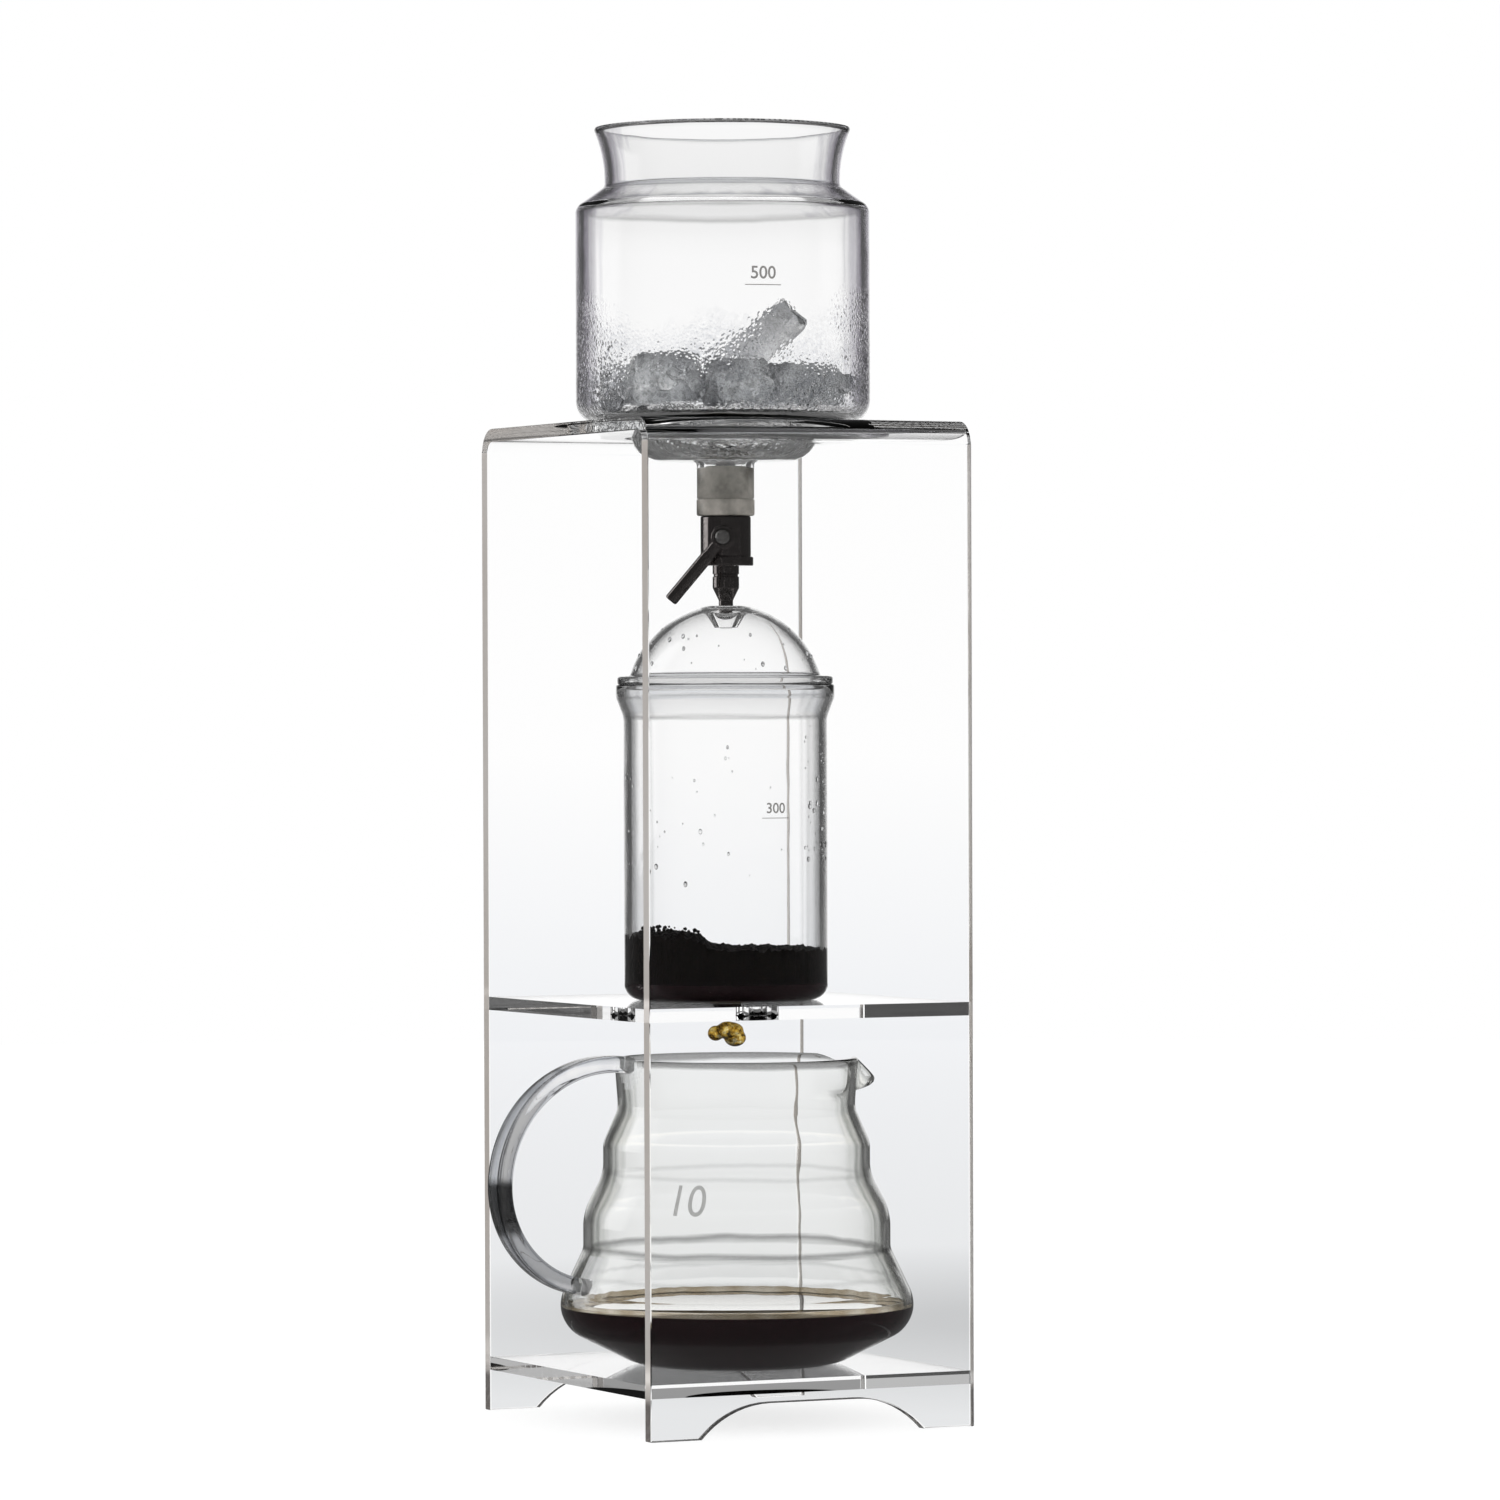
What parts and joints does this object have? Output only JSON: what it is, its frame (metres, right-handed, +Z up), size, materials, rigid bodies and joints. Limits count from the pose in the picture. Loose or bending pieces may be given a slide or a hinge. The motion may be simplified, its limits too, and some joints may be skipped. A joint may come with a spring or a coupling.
{
  "type": "cold drip coffee tower",
  "caption": "Clear acrylic stand holding a glass water bowl with a drip tap, a domed glass dripper with grounds and a wavy glass carafe with a strap handle, stacked on one axis.",
  "frame": {"origin": "on the floor, below the middle of the whole object's bounding box", "axes": "+Z up; X along the two side panels, +X towards the carafe's spout and -X towards its handle; Y across the stand from panel to panel"},
  "size_m": [0.1664, 0.147, 0.485],
  "materials": {
    "acrylic": "clear cast acrylic, polished faces, darker cut edges",
    "bowl_glass": "clear borosilicate glass with a satin ground inlet",
    "lid_glass": "clear blown glass",
    "dripper_glass": "clear blown glass",
    "carafe_glass": "clear blown glass with soft waves",
    "bung_silicone": "translucent grey-beige silicone",
    "filter_silicone": "dark silicone",
    "seal_rubber": "black rubber",
    "seat_plastic": "white PTFE",
    "steel": "turned stainless steel",
    "tap_chrome": "bright plating",
    "filter_steel": "perforated stainless steel",
    "ice": "wet ice, cloudy in the middle",
    "water": "clear water",
    "grounds": "wet dark coffee grounds",
    "coffee_drop": "golden brown bubbly coffee",
    "coffee": "very dark brown coffee"
  },
  "bodies": {
    "stand": {"stand_frame": "acrylic", "middle_shelf": "acrylic", "base_shelf": "acrylic"},
    "bowl": {"water_bowl": "bowl_glass", "bowl_stopper": "bung_silicone", "valve_inlet_stem": "steel", "valve_body": "tap_chrome", "valve_seats": "seat_plastic", "valve_end_cap": "tap_chrome", "drip_nozzle": "tap_chrome", "ice_cubes": "ice", "cold_water": "water"},
    "tap_lever": {"valve_ball": "steel", "valve_spindle": "steel", "spindle_o_ring": "seal_rubber", "valve_lever": "tap_chrome", "lever_screw": "steel"},
    "dripper": {"dripper_glass": "dripper_glass", "filter_disc": "filter_steel", "filter_gasket": "filter_silicone", "coffee_grounds": "grounds", "coffee_drop": "coffee_drop"},
    "lid": {"dome_lid": "lid_glass"},
    "carafe": {"carafe": "carafe_glass", "carafe_handle": "carafe_glass", "brewed_coffee": "coffee"}
  },
  "joints": [
    {"name": "lever_turn", "type": "hinge", "parent": "bowl", "child": "tap_lever", "pos_m": [0.01307, 0, 0.331], "axis": [0.5, 0.866, 0], "range_deg": [-15, 50]},
    {"name": "bowl_lift", "type": "slide", "parent": "stand", "child": "bowl", "axis": [0, 0, 1], "range_m": [0, 0.08]},
    {"name": "dripper_lift", "type": "slide", "parent": "stand", "child": "dripper", "axis": [0, 0, 1], "range_m": [0, 0.02]},
    {"name": "lid_lift", "type": "slide", "parent": "dripper", "child": "lid", "axis": [0, 0, 1], "range_m": [0, 0.02]},
    {"name": "carafe_slide", "type": "slide", "parent": "stand", "child": "carafe", "axis": [-1, 0, 0], "range_m": [0, 0.14]}
  ],
  "couplings": [
    {"joint": "dripper_lift", "follows": "bowl_lift", "ratio": 0.25},
    {"joint": "lid_lift", "follows": "bowl_lift", "ratio": 0.25}
  ]
}
